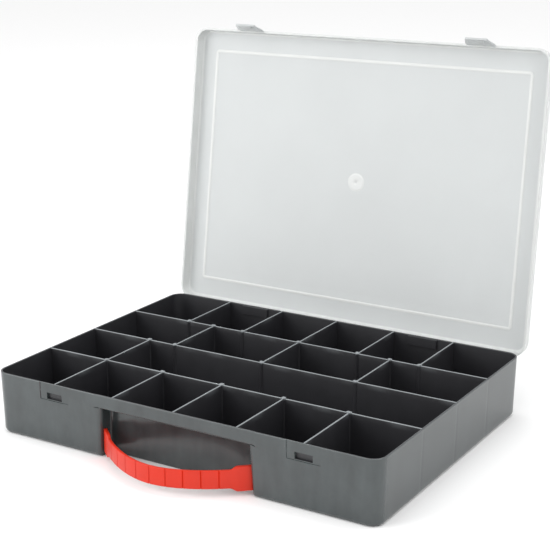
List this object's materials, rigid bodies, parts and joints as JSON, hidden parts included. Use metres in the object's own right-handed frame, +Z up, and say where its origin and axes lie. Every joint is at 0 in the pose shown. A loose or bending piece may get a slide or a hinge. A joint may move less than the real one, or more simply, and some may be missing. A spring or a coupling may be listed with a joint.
{
  "type": "parts organizer",
  "caption": "Flat carry case for small parts: a walled tray of fixed compartments, a frosted hinged lid with snap tabs, and a bowed strap handle in a front recess.",
  "frame": {"origin": "centre of the tray's flat underside", "axes": "+Z up with the tray lying flat, +X along the long side, -Y towards the handle, the lid hinges at the +Y side"},
  "size_m": [0.3718, 0.3584, 0.3269],
  "materials": {
    "tray": "satin moulded polypropylene, blue-grey, faint flow marks",
    "partition": "satin moulded polypropylene, dark grey",
    "lid": "frosted translucent polypropylene",
    "handle": "smooth orange-red polypropylene"
  },
  "bodies": {
    "tray": {"tray": "tray", "long_partition_front": "partition", "long_partition_middle": "partition", "long_partition_rear": "partition", "divider_front_1": "partition", "divider_front_2": "partition", "divider_front_3": "partition", "divider_front_4": "partition", "divider_front_5": "partition", "divider_second_1": "partition", "divider_third_1": "partition", "divider_third_2": "partition", "divider_third_3": "partition", "divider_rear_1": "partition", "divider_rear_2": "partition", "divider_rear_3": "partition", "divider_rear_4": "partition", "divider_rear_5": "partition"},
    "lid": {"lid": "lid"},
    "latch_left": {"latch_left": "lid"},
    "latch_right": {"latch_right": "lid"},
    "handle": {"handle": "handle"}
  },
  "joints": [
    {"name": "lid_hinge", "type": "hinge", "parent": "tray", "child": "lid", "pos_m": [0, 0.1365, 0.05], "axis": [-1, 0, 0], "range_deg": [-97.9, 0]},
    {"name": "latch_left_fold", "type": "hinge", "parent": "lid", "child": "latch_left", "pos_m": [-0.1204, 0.17857, 0.31968], "axis": [-1, 0, 0], "range_deg": [-20, 60], "stiffness_Nm_per_rad": 0.01},
    {"name": "latch_right_fold", "type": "hinge", "parent": "lid", "child": "latch_right", "pos_m": [0.1204, 0.17857, 0.31968], "axis": [-1, 0, 0], "range_deg": [-20, 60], "stiffness_Nm_per_rad": 0.01},
    {"name": "handle_swing", "type": "hinge", "parent": "tray", "child": "handle", "pos_m": [0, -0.1292, 0.0141], "axis": [-1, 0, 0], "range_deg": [-10, 30]}
  ]
}
